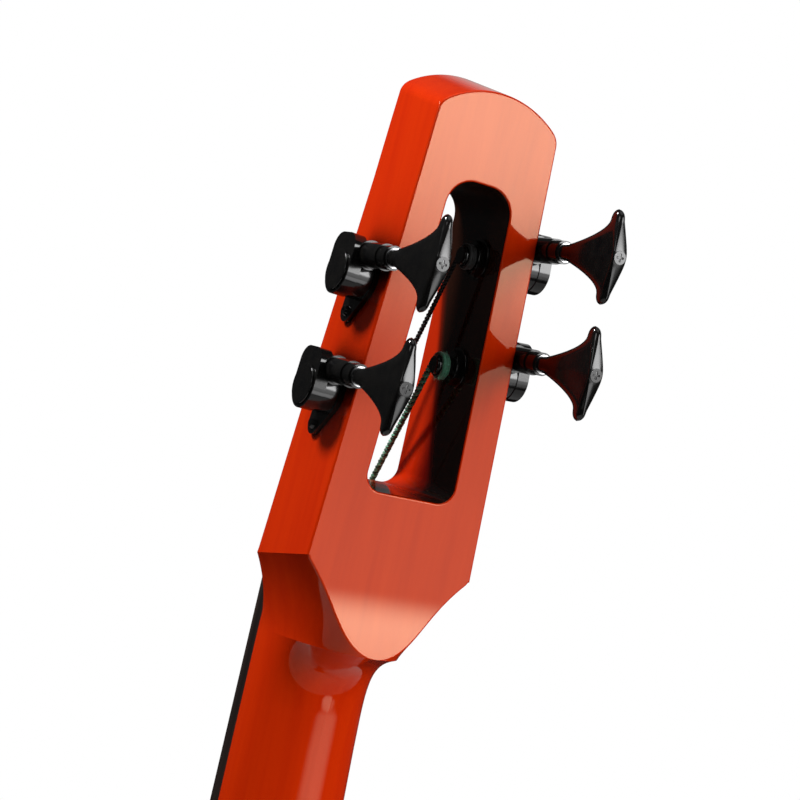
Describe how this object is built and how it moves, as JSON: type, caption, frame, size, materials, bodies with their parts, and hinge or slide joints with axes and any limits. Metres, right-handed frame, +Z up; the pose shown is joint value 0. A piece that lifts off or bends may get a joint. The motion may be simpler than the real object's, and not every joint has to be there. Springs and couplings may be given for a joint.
{
  "type": "double bass",
  "caption": "Electric upright double bass with a slotted head, side tuning machines, long fingerboard, arched bridge and slim solid body on a stand socket.",
  "frame": {"origin": "mouth of the threaded stand socket on the back of the body", "axes": "+Z up the neck towards the head, -Y towards the strings, +X towards the treble side"},
  "size_m": [0.2, 0.1504, 1.4334],
  "materials": {
    "red_lacquer": "translucent red gloss lacquer over maple",
    "ebony": "oiled dark hardwood",
    "bone": "polished bone",
    "pearl": "gloss",
    "maple": "unvarnished maple",
    "steel": "nickel plated",
    "brass": "plain",
    "string_steel": "flat wound",
    "green_silk": "silk thread",
    "black_silk": "silk thread",
    "lead_rubber": "matt",
    "black_plastic": "satin",
    "black_metal": "gloss black plated"
  },
  "bodies": {
    "instrument": {"neck": "red_lacquer", "fingerboard": "ebony", "nut": "bone", "side_dots": "pearl", "truss_rod": "steel", "truss_nut": "brass", "body": "red_lacquer", "neck_plate": "black_metal", "neck_bolts": "steel", "bridge": "maple", "bridge_pickups": "black_plastic", "pickup_lead": "lead_rubber", "tail_anchor": "black_metal", "anchor_screws": "steel", "string_e": "string_steel", "string_a": "string_steel", "string_d": "string_steel", "string_g": "string_steel", "tuner_bushings": "black_metal", "tuner_washers": "black_metal", "tuner_screws": "black_metal", "housing_e": "black_metal", "housing_a": "black_metal", "housing_d": "black_metal", "housing_g": "black_metal", "gear_cover_e": "black_metal", "gear_cover_a": "black_metal", "gear_cover_d": "black_metal", "gear_cover_g": "black_metal", "cavity_cover": "black_plastic", "cover_screws": "steel", "volume_pot": "steel", "tone_pot": "steel", "output_jack": "steel", "stand_plate": "black_metal", "stand_screws": "steel"},
    "tuner_key_e": {"worm_e": "steel", "key_e": "black_metal", "key_screw_e": "black_metal"},
    "string_post_e": {"post_e": "black_metal", "winding_e": "green_silk"},
    "tuner_key_a": {"worm_a": "steel", "key_a": "black_metal", "key_screw_a": "black_metal"},
    "string_post_a": {"post_a": "black_metal", "winding_a": "black_silk"},
    "tuner_key_d": {"worm_d": "steel", "key_d": "black_metal", "key_screw_d": "black_metal"},
    "string_post_d": {"post_d": "black_metal", "winding_d": "black_silk"},
    "tuner_key_g": {"worm_g": "steel", "key_g": "black_metal", "key_screw_g": "black_metal"},
    "string_post_g": {"post_g": "black_metal", "winding_g": "black_silk"},
    "volume_control": {"volume_knob": "black_plastic"},
    "tone_control": {"tone_knob": "black_plastic"}
  },
  "joints": [
    {"name": "key_turn_e", "type": "hinge", "parent": "instrument", "child": "tuner_key_e", "pos_m": [-0.0385, -0.04008, 0.97779], "axis": [0, 0.9976, -0.0698], "continuous": true},
    {"name": "post_turn_e", "type": "hinge", "parent": "instrument", "child": "string_post_e", "pos_m": [-0.03305, -0.0407, 0.96902], "axis": [0.9987, -0.0036, -0.0516], "continuous": true},
    {"name": "key_turn_a", "type": "hinge", "parent": "instrument", "child": "tuner_key_a", "pos_m": [-0.03616, -0.03693, 1.02288], "axis": [0, 0.9976, -0.0698], "continuous": true},
    {"name": "post_turn_a", "type": "hinge", "parent": "instrument", "child": "string_post_a", "pos_m": [-0.03071, -0.03754, 1.01411], "axis": [0.9987, -0.0036, -0.0516], "continuous": true},
    {"name": "key_turn_d", "type": "hinge", "parent": "instrument", "child": "tuner_key_d", "pos_m": [0.03722, -0.03835, 1.00253], "axis": [0, 0.9976, -0.0698], "continuous": true},
    {"name": "post_turn_d", "type": "hinge", "parent": "instrument", "child": "string_post_d", "pos_m": [0.03177, -0.03897, 0.99376], "axis": [0.9987, 0.0036, 0.0516], "continuous": true},
    {"name": "key_turn_g", "type": "hinge", "parent": "instrument", "child": "tuner_key_g", "pos_m": [0.03962, -0.04158, 0.95635], "axis": [0, 0.9976, -0.0698], "continuous": true},
    {"name": "post_turn_g", "type": "hinge", "parent": "instrument", "child": "string_post_g", "pos_m": [0.03416, -0.0422, 0.94757], "axis": [0.9987, 0.0036, 0.0516], "continuous": true},
    {"name": "volume_turn", "type": "hinge", "parent": "instrument", "child": "volume_control", "pos_m": [0.051, -0.066, -0.144], "axis": [0, -1, 0], "range_deg": [-280, 0]},
    {"name": "tone_turn", "type": "hinge", "parent": "instrument", "child": "tone_control", "pos_m": [0.051, -0.066, -0.18], "axis": [0, -1, 0], "range_deg": [-280, 0]}
  ],
  "couplings": [
    {"joint": "post_turn_e", "follows": "key_turn_e", "ratio": 0.05},
    {"joint": "post_turn_a", "follows": "key_turn_a", "ratio": 0.05},
    {"joint": "post_turn_d", "follows": "key_turn_d", "ratio": -0.05},
    {"joint": "post_turn_g", "follows": "key_turn_g", "ratio": -0.05}
  ]
}
